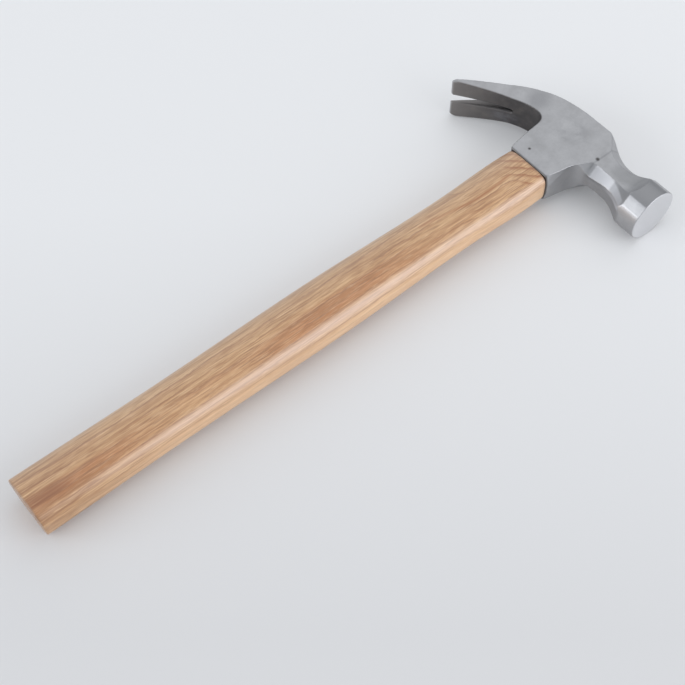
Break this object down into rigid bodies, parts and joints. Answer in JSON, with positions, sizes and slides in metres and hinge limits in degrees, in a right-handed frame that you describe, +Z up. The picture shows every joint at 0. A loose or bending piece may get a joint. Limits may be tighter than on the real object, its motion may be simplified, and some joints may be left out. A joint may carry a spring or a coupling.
{
  "type": "claw hammer",
  "caption": "Claw hammer with a forged steel head, split claws, a round bell face and a straight hardwood handle wedged in the eye.",
  "frame": {"origin": "on the surface the hammer lies on, under the centre of its bounding box", "axes": "+X along the handle from the butt to the top of the head, striking face towards -Y, claws towards +Y, +Z up from the surface the hammer lies on, square to the cheeks"},
  "size_m": [0.3264, 0.1182, 0.027],
  "materials": {
    "head_steel": "satin ground steel, dark forged scale under the claws",
    "handle_wood": "open-grained light hardwood under clear lacquer",
    "wedge_wood": "bare hardwood end grain",
    "wedge_steel": "dull mill finish"
  },
  "bodies": {
    "root": {"hammer_head": "head_steel", "handle": "handle_wood", "wooden_wedge": "wedge_wood", "steel_wedge_1": "wedge_steel", "steel_wedge_2": "wedge_steel"}
  },
  "joints": []
}
